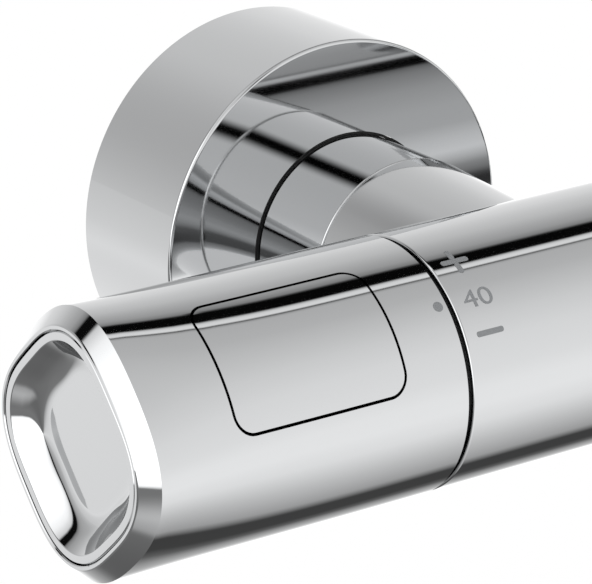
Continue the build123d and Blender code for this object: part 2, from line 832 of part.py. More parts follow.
def adjusting_nut():
    """The nut that the spindle moves along the cartridge, with the spring cup behind it."""
    start = -NUT_SLIDE_START
    cup = start - NUT_SLIDE_LENGTH
    return turned(bar_plane(-1), BAR_AXIS, [
        (start, SPINDLE_THREAD_R + SLIDE),
        (start, NUT_SLIDE_R),
        (cup - CUP_LENGTH, NUT_SLIDE_R),
        (cup - CUP_LENGTH, WAX_HEAD_R + FIT),
        (cup, WAX_HEAD_R + FIT),
        (cup, SPINDLE_THREAD_R + SLIDE),
    ])


def overload_spring():
    """The strong coil that gives way when the wax has no room left."""
    wire_r = STRONG_WIRE_R
    start = NUT_SLIDE_START + NUT_SLIDE_LENGTH + wire_r + FIT
    place = (-SEAM_X + start, BAR_Y, 0)
    coil_r = WAX_HEAD_R - wire_r - FIT
    height = OVERLOAD_LENGTH - 2 * wire_r - 2 * FIT
    return coil_spring(place, (1, 0, 0), height, coil_r, wire_r, OVERLOAD_TURNS)


def wax_element():
    """The capsule of wax: its head sits in the spring cup and its stem carries the shuttle."""
    head = -(NUT_SLIDE_START + NUT_SLIDE_LENGTH + OVERLOAD_LENGTH)
    tip = -(SHUTTLE_START + SHUTTLE_LENGTH + WAX_STEM_REACH)
    return turned(bar_plane(-1), BAR_AXIS, [
        (head, 0),
        (head, WAX_HEAD_R),
        (head - WAX_HEAD_T, WAX_HEAD_R),
        (head - WAX_HEAD_T, WAX_STEM_R),
        (tip, WAX_STEM_R),
        (tip, 0),
    ])


def control_shuttle():
    """The ring that shares the flow between the hot and the cold ports."""
    start = -SHUTTLE_START
    end = start - SHUTTLE_LENGTH
    outer = HOUSING_IN_R - SLIDE
    inner = outer - SHUTTLE_WALL
    web = end + SHUTTLE_LENGTH / 2
    with BuildPart() as shuttle:
        with BuildSketch(bar_plane(-1)):
            with BuildLine():
                Polyline(
                    (start, inner),
                    (start, outer),
                    (end, outer),
                    (end, inner),
                    (web - SHUTTLE_WEB_T, inner),
                    (web - SHUTTLE_WEB_T, WAX_STEM_R + FIT),
                    (web, WAX_STEM_R + FIT),
                    (web, inner),
                    close=True,
                )
            make_face()
        revolve(axis=BAR_AXIS)
        with BuildSketch(end_plane(-1, end)):
            with PolarLocations((WAX_STEM_R + inner) / 2, 6):
                Circle(SHUTTLE_HOLE_R)
        extrude(amount=SHUTTLE_LENGTH, mode=Mode.SUBTRACT)
    return shuttle


def return_spring():
    """The coil that pushes the shuttle back as the wax shrinks."""
    wire_r = STRONG_WIRE_R
    start = SHUTTLE_START + SHUTTLE_LENGTH + wire_r + FIT
    end = THERMOSTAT_DEPTH - HOUSING_FLOOR_T - wire_r - FIT
    place = (-SEAM_X + start, BAR_Y, 0)
    coil_r = HOUSING_IN_R - wire_r - 3 * CLEAR
    return coil_spring(place, (1, 0, 0), end - start, coil_r, wire_r, RETURN_TURNS)


def diverter_housing():
    front = -(HOUSING_START + HOUSING_FRONT_T)
    end = DIVERTER_END
    floor = FIXED_DISC_END
    with BuildPart() as housing:
        with BuildSketch(bar_plane(1)):
            with BuildLine():
                Polyline(
                    *housing_outline(DIVERTER_SEALS, end),
                    (end, 0),
                    (floor, 0),
                    (floor, DISC_R + FIT),
                    (front, DISC_R + FIT),
                    (front, JOURNAL_R + FIT),
                    (NECK_TUBE_END, JOURNAL_R + FIT),
                    close=True,
                )
            make_face()
        revolve(axis=BAR_AXIS)
        with BuildSketch(end_plane(1, end)):
            with PolarLocations(DISC_PORT_RING, 3, start_angle=90):
                Circle(DISC_PORT_R)
        extrude(amount=floor - end, mode=Mode.SUBTRACT)
        with BuildSketch(Plane(origin=(INLET_X, BAR_Y, 0), x_dir=(1, 0, 0), z_dir=(0, 0, 1))):
            Circle(HOUSING_PORT_R)
        extrude(amount=HOUSING_R + OVERLAP, both=True, mode=Mode.SUBTRACT)
    return housing


def port_disc(side, start):
    """A ceramic disc with three ports."""
    with BuildPart() as disc:
        with BuildSketch(end_plane(side, start)):
            Circle(DISC_R)
            with PolarLocations(DISC_PORT_RING, 3, start_angle=90):
                Circle(DISC_PORT_R, mode=Mode.SUBTRACT)
        extrude(amount=-DISC_T)
    return disc


def diverter_gasket():
    return turned(bar_plane(1), BAR_AXIS, [
        (DIVERTER_END, DIVERTER_GASKET_IN_R),
        (DIVERTER_END, HOUSING_R),
        (-DIVERTER_DEPTH, HOUSING_R),
        (-DIVERTER_DEPTH, DIVERTER_GASKET_IN_R),
    ])


def riser_collar():
    """The socket on top that takes the riser pipe."""
    seat = BOSS_HEIGHT
    with BuildPart() as collar:
        with BuildSketch(outlet_plane(1)):
            with BuildLine():
                Polyline(
                    (seat - THREAD_IN_PORT, OUTLET_BORE_R),
                    (seat - THREAD_IN_PORT, PORT_R - FIT),
                    (seat, PORT_R - FIT),
                    (seat, COLLAR_OUT_R),
                    (seat + SOCKET_FLOOR + RISER_SOCKET, COLLAR_OUT_R),
                    (seat + SOCKET_FLOOR + RISER_SOCKET, RISER_R),
                    (seat + SOCKET_FLOOR, RISER_R),
                    (seat + SOCKET_FLOOR, OUTLET_BORE_R),
                    close=True,
                )
            make_face()
        revolve(axis=OUTLET_AXIS)
        with BuildSketch(outlet_plane(1)):
            for height in RISER_SEALS_FROM_SEAT:
                with Locations((seat + height, RISER_R + SEAL_R)):
                    Rectangle(GROOVE_WIDTH, 2 * SEAL_R)
        revolve(axis=OUTLET_AXIS, mode=Mode.SUBTRACT)
        with BuildSketch(set_screw_plane()):
            Circle(SET_SCREW_R + FIT)
        extrude(amount=COLLAR_OUT_R, mode=Mode.SUBTRACT)
    return collar


def set_screw_plane():
    """A plane through the collar's axis that faces the wall, level with the set screw."""
    return Plane(origin=(0, BAR_Y, SET_SCREW_HEIGHT), x_dir=(1, 0, 0), z_dir=(0, 1, 0))


def riser_seals():
    with BuildPart() as rings:
        with BuildSketch(outlet_plane(1)):
            for height in RISER_SEALS_FROM_SEAT:
                with Locations((BOSS_HEIGHT + height, RISER_R + SEAL_R)):
                    Circle(SEAL_R - FIT)
        revolve(axis=OUTLET_AXIS)
    return rings


def riser_set_screw():
    """A headless screw in the back of the collar that holds the riser pipe."""
    with BuildPart() as screw:
        with BuildSketch(set_screw_plane().offset(RISER_R + CLEAR)):
            Circle(SET_SCREW_R)
        extrude(amount=COLLAR_OUT_R - RISER_R - 2 * CLEAR)
        with BuildSketch(set_screw_plane().offset(COLLAR_OUT_R - CLEAR)):
            RegularPolygon(SET_SCREW_R / 2, 6)
        extrude(amount=-SET_SCREW_SOCKET, mode=Mode.SUBTRACT)
    return screw


def hose_outlet():
    """The hexagon nipple below, with the thread that a shower hose screws on."""
    seat = BOSS_HEIGHT
    tip = seat + OUTLET_FLANGE_T + OUTLET_THREAD_LENGTH
    with BuildPart() as nipple:
        with BuildSketch(Plane.XY.offset(-seat)):
            with Locations((0, BAR_Y)):
                RegularPolygon(BOSS_R, 6)
        extrude(amount=-OUTLET_FLANGE_T)
        with BuildSketch(outlet_plane(-1)):
            with BuildLine():
                Polyline(
                    (seat - THREAD_IN_PORT, 0),
                    (seat - THREAD_IN_PORT, PORT_R - FIT),
                    (seat, PORT_R - FIT),
                    (seat, OUTLET_THREAD_R),
                    (tip, OUTLET_THREAD_R),
                    (tip, 0),
                    close=True,
                )
            make_face()
        revolve(axis=OUTLET_AXIS)
        with BuildSketch(outlet_plane(-1)):
            with BuildLine():
                Polyline(
                    (seat - THREAD_IN_PORT, 0),
                    (seat - THREAD_IN_PORT, OUTLET_BORE_R),
                    (tip, OUTLET_BORE_R),
                    (tip, 0),
                    close=True,
                )
            make_face()
        revolve(axis=OUTLET_AXIS, mode=Mode.SUBTRACT)
    return nipple


# What both halves have
for side, name in SIDE_NAMES.items():
    save(union_nut(side), f"{name}_union_nut")
    save(union_gasket(side), f"{name}_union_gasket")
    save(offset_union(side), f"{name}_offset_union")
    save(rosette(side), f"{name}_rosette")
    save(rosette_carrier(side), f"{name}_rosette_carrier")
    save(check_body(side), f"{name}_check_valve_body")
    save(check_poppet(side), f"{name}_check_valve_poppet")
    save(check_spring(side), f"{name}_check_valve_spring")

for side, name in HANDLE_NAMES.items():
    save(handle_shell(side), f"{name}_handle")
    save(handle_cap(side), f"{name}_handle_cap")
    save(handle_carrier(side), f"{name}_handle_carrier")
    save(handle_screw(side), f"{name}_handle_screw")
    save(stop_ring(side), f"{name}_stop_ring")
    save(push_button(side), f"{BUTTON_NAMES[side]}_button")
    save(button_spring(side), f"{BUTTON_NAMES[side]}_spring")

# The bar and its outlets
save(mixer_body(), "mixer_body")
save(riser_collar(), "riser_collar")
save(riser_seals(), "riser_seals")
save(riser_set_screw(), "riser_set_screw")
save(hose_outlet(), "hose_outlet")

# The thermostat in the left end
save(thermostat_housing(), "thermostat_housing")
save(retaining_nut(-1), "thermostat_retaining_nut")
save(seals(-1, THERMOSTAT_SEALS), "thermostat_seals")
save(spindle(-1, COLLAR_AT - COLLAR_T - SPINDLE_THREAD_LENGTH), "thermostat_spindle")
save(adjusting_nut(), "adjusting_nut")
save(overload_spring(), "overload_spring")
save(wax_element(), "wax_element")
save(control_shuttle(), "control_shuttle")
save(return_spring(), "return_spring")

# The flow valve and diverter in the right end
save(diverter_housing(), "diverter_housing")
save(retaining_nut(1), "diverter_retaining_nut")
save(seals(1, DIVERTER_SEALS), "diverter_seals")
save(diverter_gasket(), "diverter_gasket")
save(spindle(1, MOVING_DISC_START + FIT), "diverter_spindle")
save(port_disc(1, MOVING_DISC_START), "moving_disc")
save(port_disc(1, FIXED_DISC_END + DISC_T), "fixed_disc")
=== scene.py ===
# %% [markdown]
# # A thermostatic shower valve in polished chrome
# This lesson dresses a finished construction model for a picture. The model gives every
# piece its true size and place; the lesson remodels the polished outer skins, because a
# mirror finish shows every flat facet, and gives each inner piece the finish it really has.

import json
import math

import bpy
from mathutils import Matrix, Vector


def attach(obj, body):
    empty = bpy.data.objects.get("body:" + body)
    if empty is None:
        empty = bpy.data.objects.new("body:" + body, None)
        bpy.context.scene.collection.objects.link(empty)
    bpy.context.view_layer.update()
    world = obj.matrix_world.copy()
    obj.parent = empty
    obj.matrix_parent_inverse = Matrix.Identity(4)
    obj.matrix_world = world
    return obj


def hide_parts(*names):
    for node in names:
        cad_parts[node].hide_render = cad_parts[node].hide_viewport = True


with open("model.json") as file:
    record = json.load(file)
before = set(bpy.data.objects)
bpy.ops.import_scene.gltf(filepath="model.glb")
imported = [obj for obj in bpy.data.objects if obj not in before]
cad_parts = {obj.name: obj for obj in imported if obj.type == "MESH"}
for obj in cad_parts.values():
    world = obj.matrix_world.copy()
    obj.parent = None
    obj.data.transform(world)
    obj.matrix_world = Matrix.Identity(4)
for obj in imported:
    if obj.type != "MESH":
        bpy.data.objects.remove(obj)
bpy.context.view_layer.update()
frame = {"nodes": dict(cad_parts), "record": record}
nodes = frame["nodes"]
bpy.ops.object.select_all(action="DESELECT")
print("nodes in the frame:", len(nodes))

# %% [markdown]
# ## Sizes
# All places are in the frame's own axes. X runs along the bar, Y goes into the wall and Z is
# up. Sizes are written in millimetres, as on a drawing, and one factor turns them to metres.

# %% Sizes
MM = 0.001
BAR_R = 21.5
SEAM_X = 105.5
INLET_X = 75.0
BAR_Y = -83.9
NECK_R = 19.3
NECK_END = 38.5
NECK_DRAFT = -1.7
NUT_R = 19.2
NUT_LENGTH = 31.0
ROSETTE_R = 35.5
ROSETTE_HOLE_R = 19.75
FACE_FROM_BAR = 56.4
WALL_FROM_BAR = 83.9
WALL_OFFSET = (2.2, 1.4)
HANDLE_SECTIONS = ((0.9, 21.57, 0.0), (24.0, 21.54, 0.03), (42.0, 21.52, 0.25), (59.5, 21.7, 0.91))
HANDLE_LENGTH = 62.3
RIM_R, RIM_SQUARE = 19.0, 0.98
FLAT_ANGLE = math.radians(42.1)
SIDES = {-1: ("left", "temperature"), 1: ("right", "flow")}
print("bar", 2 * BAR_R, "mm across and", 2 * SEAM_X, "mm between its seams")

# %% [markdown]
# ## Finishes
# Colours are written as the hex values a painter would pick on a screen. Blender mixes light
# in linear values, so one function converts them.

# %% Helpers for materials


def colour(hex_value):
    """An sRGB hex value as a linear colour with full alpha."""
    parts = [int(hex_value[i : i + 2], 16) / 255 for i in (0, 2, 4)]
    linear = [p / 12.92 if p <= 0.04045 else ((p + 0.055) / 1.055) ** 2.4 for p in parts]
    return (*linear, 1.0)


def add_node(tree, kind, links=(), **settings):
    """Add one shader node, set its sockets or settings, and link outputs into it."""
    node = tree.nodes.new(kind)
    for key, value in settings.items():
        name = key.replace("_", " ")
        if name in node.inputs:
            node.inputs[name].default_value = value
        else:
            setattr(node, key, value)
    for output, name in links:
        tree.links.new(output, node.inputs[name])
    return node


def new_material(name):
    """An empty material with an output, and its node tree."""
    material = bpy.data.materials.new(name)
    material.use_nodes = True
    material.node_tree.nodes.clear()
    return material, material.node_tree


def finish_material(tree, surface):
    add_node(tree, "ShaderNodeOutputMaterial", [(surface.outputs[0], "Surface")])


print("mid grey 808080 is", round(colour("808080")[0], 3), "in linear values")

# %% [markdown]
# Chrome plate is a thin, very hard layer over nickel on brass or plastic, buffed to a
# mirror. The eye reads it only through what it reflects. A chromium mirror gives back a little
# over half of the light, so its colour is a plain grey, and its roughness is very low. Buffing
# leaves a trace of waviness, which a faint bump of a few millimetres' wavelength gives, and
# wiping leaves the roughness a little uneven.

# %% Chrome plate


def chrome_plate(name, base, wave_mm):
    material, tree = new_material(name)
    place = add_node(tree, "ShaderNodeTexCoord")
    wave = add_node(
        tree, "ShaderNodeTexNoise", [(place.outputs["Object"], "Vector")], Scale=1000 / wave_mm, Detail=1.0
    )
    bump = add_node(tree, "ShaderNodeBump", [(wave.outputs[0], "Height")], Strength=0.05, Distance=0.00002)
    wipe = add_node(
        tree, "ShaderNodeTexNoise", [(place.outputs["Object"], "Vector")], Scale=60.0, Detail=4.0
    )
    rough = add_node(tree, "ShaderNodeMapRange", [(wipe.outputs[0], "Value")])
    rough.inputs["To Min"].default_value = 0.025
    rough.inputs["To Max"].default_value = 0.06
    surface = add_node(
        tree,
        "ShaderNodeBsdfPrincipled",
        [(bump.outputs[0], "Normal"), (rough.outputs[0], "Roughness")],
        Base_Color=colour(base),
        Metallic=1.0,
    )
    finish_material(tree, surface)
    return material


CHROME_BASE = "C7C8C9"
chrome = chrome_plate("chrome_plate_on_brass", CHROME_BASE, 9.0)
handle_chrome = chrome_plate("chrome_plate_on_abs", CHROME_BASE, 12.0)
print("chrome reflects", round(colour(CHROME_BASE)[0], 2), "of the light")

# %% [markdown]
# The pieces inside aren't chrome. Acetal and nylon are moulded plastics with a fine satin
# skin; brass is turned and keeps faint tool rings; the springs and screws are drawn stainless
# steel; the seals are EPDM rubber with a dull, slightly speckled skin; the discs are lapped
# ceramic. One function makes such a finish from a base colour, a grain size and its values.

# %% Finishes of the inner pieces


def grained(name, dark, light, grain_mm, metallic, rough, bump_mm, stretch=(1, 1, 1)):
    """A finish whose colour, roughness and relief vary with one fine grain."""
    material, tree = new_material(name)
    place = add_node(tree, "ShaderNodeTexCoord")
    turned_to = add_node(tree, "ShaderNodeMapping", [(place.outputs["Object"], "Vector")], Scale=stretch)
    grain = add_node(
        tree, "ShaderNodeTexNoise", [(turned_to.outputs[0], "Vector")], Scale=1000 / grain_mm, Detail=5.0
    )
    tone = add_node(tree, "ShaderNodeMix", [(grain.outputs[0], "Factor")], data_type="RGBA")
    tone.inputs[6].default_value = colour(dark)
    tone.inputs[7].default_value = colour(light)
    gloss = add_node(tree, "ShaderNodeMapRange", [(grain.outputs[0], "Value")])
    gloss.inputs["To Min"].default_value = rough * 0.8
    gloss.inputs["To Max"].default_value = rough * 1.2
    relief = add_node(
        tree, "ShaderNodeBump", [(grain.outputs[0], "Height")], Strength=0.4, Distance=bump_mm * MM
    )
    surface = add_node(
        tree,
        "ShaderNodeBsdfPrincipled",
        [(tone.outputs[2], "Base Color"), (gloss.outputs[0], "Roughness"), (relief.outputs[0], "Normal")],
        Metallic=metallic,
    )
    finish_material(tree, surface)
    return material


FINISHES = {
    "chrome": chrome,
    "handle_chrome": handle_chrome,
    "black_acetal": grained("moulded_black_acetal", "0A0A0B", "141415", 0.6, 0.0, 0.42, 0.01),
    "white_acetal": grained("moulded_natural_acetal", "DCDAD0", "E8E6DD", 0.8, 0.0, 0.38, 0.01),
    "grey_nylon": grained("glass_filled_nylon", "5A5C5F", "6E7073", 0.4, 0.0, 0.5, 0.02, (0.3, 1, 1)),
    "brass": grained("turned_brass", "B08A45", "C9A45C", 0.5, 1.0, 0.3, 0.006, (1, 0.2, 0.2)),
    "steel": grained("drawn_stainless_steel", "B4B4B2", "CACAC8", 0.3, 1.0, 0.28, 0.004, (0.2, 1, 1)),
    "ceramic": grained("lapped_alumina_ceramic", "E6E2D6", "F1EEE4", 1.0, 0.0, 0.15, 0.002),
    "rubber": grained("moulded_epdm_rubber", "101010", "1C1C1C", 0.5, 0.0, 0.6, 0.02),
    "copper": grained("drawn_copper", "B4724E", "C98963", 0.6, 1.0, 0.26, 0.004, (0.2, 1, 1)),
}
for part in frame["record"]["subparts"]:
    node = nodes[part["node"]]
    node.data.materials.clear()
    node.data.materials.append(FINISHES[part["material_slot"]])
print("finishes:", ", ".join(sorted(FINISHES)))

# %% [markdown]
# ## Modelling tools
# A turned skin starts as a circle at one end of its outline. The circle is extruded from
# station to station and resized to each radius, which is how a lathe's outline grows by hand.
# Each finished piece then has its place applied, so that its object sits at the origin.

# %% Helpers for modelling


def only(piece):
    """Make this the one selected and active object."""
    bpy.ops.object.select_all(action="DESELECT")
    piece.select_set(True)
    bpy.context.view_layer.objects.active = piece


def modify(piece, kind, **settings):
    """Add a modifier with its settings and apply it at once."""
    only(piece)
    modifier = piece.modifiers.new(kind.title(), kind)
    for key, value in settings.items():
        setattr(modifier, key, value)
    bpy.ops.object.modifier_apply(modifier=modifier.name)


def settle(piece, name, material, smooth=30):
    """Name the piece, apply its place, point its faces outwards and shade it smooth."""
    only(piece)
    piece.name = name
    bpy.ops.object.transform_apply(location=True, rotation=True, scale=True)
    bpy.ops.object.mode_set(mode="EDIT")
    bpy.ops.mesh.select_all(action="SELECT")
    bpy.ops.mesh.remove_doubles(threshold=0.000001)
    bpy.ops.mesh.normals_make_consistent(inside=False)
    bpy.ops.object.mode_set(mode="OBJECT")
    bpy.ops.object.shade_smooth_by_angle(angle=math.radians(smooth))
    modify(piece, "WEIGHTED_NORMAL", keep_sharp=True)
    piece.data.materials.clear()
    piece.data.materials.append(material)
    return piece


def turned(origin, along, outline, segments=192, closed=False):
    """A turned skin: outline is a list of (distance along, radius) in millimetres."""
    origin, along = Vector(origin) * MM, Vector(along)
    turn = along.to_track_quat("Z", "Y").to_euler()
    start, radius = outline[0]
    bpy.ops.mesh.primitive_circle_add(
        vertices=segments, radius=radius * MM, location=origin + along * start * MM, rotation=turn
    )
    piece = bpy.context.object
    bpy.ops.object.mode_set(mode="EDIT")
    stations = list(outline[1:]) + ([outline[0]] if closed else [])
    for distance, new_radius in stations:
        shift = along * (distance - start) * MM
        bpy.ops.mesh.extrude_region_move(TRANSFORM_OT_translate={"value": shift})
        grow = new_radius / radius
        bpy.ops.transform.resize(value=(grow, grow, grow), center_override=origin + along * distance * MM)
        start, radius = distance, new_radius
    bpy.ops.mesh.select_all(action="SELECT")
    if closed:
        bpy.ops.mesh.remove_doubles(threshold=0.000001)
    else:
        bpy.ops.mesh.fill_holes(sides=0)
    bpy.ops.mesh.normals_make_consistent(inside=False)
    bpy.ops.object.mode_set(mode="OBJECT")
    return piece


def rounded(distance_a, radius_a, distance_b, radius_b, bulge, steps=4):
    """Stations round an edge from a to b, as a quarter turn about their common corner."""
    stations = []
    for step in range(steps + 1):
        turn = math.pi / 2 * step / steps
        along = math.sin(turn) if bulge == "radius first" else 1 - math.cos(turn)
        across = 1 - math.cos(turn) if bulge == "radius first" else math.sin(turn)
        stations.append(
            (distance_a + (distance_b - distance_a) * along, radius_a + (radius_b - radius_a) * across)
        )
    return stations


def cut(piece, tool, operation="DIFFERENCE"):
    """Cut a piece with a tool that is then thrown away."""
    modify(piece, "BOOLEAN", object=tool, operation=operation, solver="EXACT")
    bpy.data.objects.remove(tool)


def dress(piece, body, slot_name, *replaced):
    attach(piece, body)
    if replaced:
        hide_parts(*replaced)


print("helpers ready")

# %% [markdown]
# ## The bar
# The bar of such a valve is a brass casting, turned and plated. What shows is its round skin
# with a fine edge at each seam, two short necks to the wall and the bosses of the outlets.
# The necks narrow a little towards the bar, where the construction model's are straight.
# The necks and bosses are separate turned skins that run into the bar: that keeps every
# mirror surface true, where a boolean would leave broken faces along the joint.

# %% The bar, its necks and its bosses
EDGE = 0.4
bar_end = SEAM_X - EDGE
bar = turned(
    (0, BAR_Y, 0),
    (1, 0, 0),
    [(-SEAM_X, 18.0)]
    + rounded(-SEAM_X, BAR_R - EDGE, -bar_end, BAR_R, "distance first")
    + [(0, BAR_R)]
    + rounded(bar_end, BAR_R, SEAM_X, BAR_R - EDGE, "radius first")
    + [(SEAM_X, 18.0)],
    segments=256,
)
dress(settle(bar, "bar_skin", chrome), "mixer", "chrome", "mixer_body")
for side, (name, _) in SIDES.items():
    neck = turned(
        (side * INLET_X, BAR_Y, 0),
        (0, 1, 0),
        [(10, 13.1), (10, NECK_R + NECK_DRAFT), (24, NECK_R + NECK_DRAFT / 2), (37.9, NECK_R)]
        + rounded(37.9, NECK_R, NECK_END, NECK_R - 0.5, "radius first")
        + [(NECK_END, 13.1), (50, 13.1)],
        segments=224,
    )
    dress(settle(neck, name + "_neck_skin", chrome), "mixer", "chrome", "mixer_body")
for up, name in ((1, "riser"), (-1, "hose")):
    boss = turned(
        (0, BAR_Y, 0),
        (0, 0, up),
        [(14, 6.5), (14, 13), (22, 13), (29.6, 13)]
        + rounded(29.6, 13, 30, 12.6, "radius first")
        + [(30, 6.5)],
        segments=160,
        closed=True,
    )
    dress(settle(boss, name + "_boss_skin", chrome), "mixer", "chrome", "mixer_body")
print("bar faces:", len(bar.data.polygons))

# %% [markdown]
# ## Union nuts and rosettes
# A union nut is a plain chromed sleeve here. The rosette is a deep drawn cup: a flat face
# that mirrors the bar, a small rim radius and a straight side. Its hole is round the nut,
# while its rim is round the wall thread a little further out, so the hole is cut last. A thin
# black lip with a rubber finish fills the gap between the nut and the hole. It is painted shade:
# it stands for the shadow down in that gap.

# %% Union nuts and rosettes
for side, (name, _) in SIDES.items():
    start, end = NECK_END + 0.05, NECK_END + 0.05 + NUT_LENGTH
    nut = turned(
        (side * INLET_X, BAR_Y, 0),
        (0, 1, 0),
        [(start, 13.15)]
        + rounded(start, NUT_R - 0.35, start + 0.35, NUT_R, "distance first")
        + [(50, NUT_R), (60, NUT_R), (end, NUT_R), (end, 17.7), (56.7, 17.7)]
        + [(56.7, 10.9), (53.65, 10.9), (53.65, 13.15)],
        segments=224,
        closed=True,
    )
    dress(settle(nut, name + "_union_nut_skin", chrome), "mixer", "chrome", name + "_union_nut")
    centre = (side * (INLET_X + WALL_OFFSET[0]), BAR_Y, WALL_OFFSET[1])
    face, back = FACE_FROM_BAR, WALL_FROM_BAR
    rosette = turned(
        centre,
        (0, 1, 0),
        [(face, 12.0)]
        + rounded(face, ROSETTE_R - 0.6, face + 0.6, ROSETTE_R, "distance first", 6)
        + [(70, ROSETTE_R), (back, ROSETTE_R), (back, 34.0), (face + 1.5, 34.0), (face + 1.5, 12.0)],
        segments=256,
        closed=True,
    )
    hole = turned(
        (side * INLET_X, BAR_Y, 0),
        (0, 1, 0),
        [(face - 2, ROSETTE_HOLE_R), (face + 4, ROSETTE_HOLE_R)],
        segments=256,
    )
    cut(rosette, hole)
    dress(settle(rosette, name + "_rosette_skin", chrome), "mixer", "chrome", name + "_rosette")
    # Painted shade: this black ring with a rubber finish stands for the shadow inside the gap between the
    # nut and the rosette's hole.
    shade_lip_in, shade_lip_out = NUT_R + 0.03, ROSETTE_HOLE_R - 0.03
    shade_lip = turned(
        (side * INLET_X, BAR_Y, 0),
        (0, 1, 0),
        [(face + 0.3, shade_lip_in), (face + 0.2, 19.5), (face + 0.3, shade_lip_out)]
        + [(face + 1.4, shade_lip_out), (face + 1.4, shade_lip_in)],
        segments=192,
        closed=True,
    )
    dress(settle(shade_lip, name + "_rosette_shade_lip", FINISHES["rubber"]), "mixer", "rubber")
print("rosette", 2 * ROSETTE_R, "mm across")

# %% [markdown]
# ## Handles
# A handle's shell is moulded ABS, plated after moulding. It is round at the seam and swells
# into a square with very round corners at its bevelled end. The rings come from extruding a
# circle, as before; each ring's points are then moved to the squared outline in code, because
# no single transform squares a circle.

# %% The skin of a handle


def through(points, x):
    """The smooth curve through a few (x, y) points, read at x."""
    total = 0.0
    for i, (xi, yi) in enumerate(points):
        term = yi
        for j, (xj, _) in enumerate(points):
            if i != j:
                term *= (x - xj) / (xi - xj)
        total += term
    return total


RADIUS_AT = [(x, radius) for x, radius, _ in HANDLE_SECTIONS]
SQUARE_AT = [(x, square) for x, _, square in HANDLE_SECTIONS]
BEVEL_AT = HANDLE_SECTIONS[-1][0]


def outline_at(out):
    """Radius and squareness of a handle's outside, this far out from the seam."""
    if out <= BEVEL_AT:
        return through(RADIUS_AT, max(out, 0.9)), max(through(SQUARE_AT, out), 0.0)
    part = (out - BEVEL_AT) / (HANDLE_LENGTH - BEVEL_AT)
    radius = RADIUS_AT[-1][1] + (RIM_R - RADIUS_AT[-1][1]) * part
    return radius, SQUARE_AT[-1][1] + (RIM_SQUARE - SQUARE_AT[-1][1]) * part


def squared(piece, side, square_of):
    """Move each point in or out so that its ring becomes a round-cornered square."""
    for vertex in piece.data.vertices:
        place = piece.matrix_world @ vertex.co / MM
        out = side * place.x - SEAM_X
        y, z = place.y - BAR_Y, place.z
        angle = math.atan2(z, -y) - FLAT_ANGLE
        reach = math.hypot(y, z)
        if reach > 0.01:
            grow = 1 - square_of(out, reach) * math.cos(4 * angle) / reach
            place.y, place.z = BAR_Y + y * grow, z * grow
            vertex.co = piece.matrix_world.inverted() @ (place * MM)


def skin_square(out, reach):
    return outline_at(out)[1] if reach > 19.6 or out > 58 else 0.0


def handle_skin(side, inner):
    """The outside of a handle, hollow or solid, from the seam to the rim."""
    outline = [(0.9, 20.2), (0.9, 21.37), (1.1, 21.57)]
    plain = BEVEL_AT - 0.25 - 1.1
    stations = [1.1 + i * plain / 26 for i in range(1, 27)]
    stations += [BEVEL_AT, BEVEL_AT + 0.1, HANDLE_LENGTH - 0.2]
    outline += [(out, outline_at(out)[0]) for out in stations]
    outline += [(HANDLE_LENGTH - 0.1, RIM_R + 0.05), (HANDLE_LENGTH, RIM_R - 0.1)]
    if inner:
        outline += [(HANDLE_LENGTH, RIM_R - 0.6), (HANDLE_LENGTH - 0.15, RIM_R - 0.75)]
        outline += [(58.9, RIM_R - 0.75), (58.9, 15.5), (57.4, 15.5), (57.4, 19.2), (4.8, 19.2), (4.8, 20.2)]
    skin = turned((side * SEAM_X, BAR_Y, 0), (side, 0, 0), outline, segments=224, closed=inner)
    squared(skin, side, skin_square)
    return skin


print("squareness at the bevel", round(outline_at(BEVEL_AT)[1], 2), "mm")

# %% [markdown]
# The button's window is cut through the shell with a block that has the button's rounded
# outline. The button itself is the same skin, kept only inside a slightly smaller block, so
# its mirror runs on from the shell's across a narrow dark gap.

# %% Shells and buttons
BUTTON_SPAN = (12.3, 44.9)
BUTTON_GAP = 0.46
BUTTON_WIDTH = 2 * BAR_R * math.sin(math.radians(63.2 / 2))


def button_block(side, smaller):
    """A block along the button's press, with rounded corners, from near the axis outwards."""
    middle = side * (SEAM_X + sum(BUTTON_SPAN) / 2)
    bpy.ops.mesh.primitive_cube_add(size=1)
    block = bpy.context.object
    block.scale = (
        (BUTTON_SPAN[1] - BUTTON_SPAN[0] - 2 * smaller) * MM,
        (BUTTON_WIDTH - 2 * smaller) * MM,
        20 * MM,
    )
    bpy.ops.object.transform_apply(location=False, rotation=False, scale=True)
    upright = [
        edge.index
        for edge in block.data.edges
        if abs(block.data.vertices[edge.vertices[0]].co.z - block.data.vertices[edge.vertices[1]].co.z) > MM
    ]
    bpy.ops.object.mode_set(mode="EDIT")
    bpy.ops.mesh.select_all(action="DESELECT")
    bpy.ops.object.mode_set(mode="OBJECT")
    for index in upright:
        block.data.edges[index].select = True
    bpy.ops.object.mode_set(mode="EDIT")
    bpy.ops.mesh.select_mode(type="EDGE")
    bpy.ops.mesh.bevel(offset=(3.5 - smaller) * MM, segments=8)
    bpy.ops.object.mode_set(mode="OBJECT")
    outwards = Vector((0, -math.cos(FLAT_ANGLE), math.sin(FLAT_ANGLE)))
    across = Vector((0, math.sin(FLAT_ANGLE), math.cos(FLAT_ANGLE)))
    turn = Matrix((Vector((1, 0, 0)), across, outwards)).transposed().to_4x4()
    block.matrix_world = Matrix.Translation(Vector((middle, BAR_Y, 0)) * MM + outwards * 20 * MM) @ turn
    return block


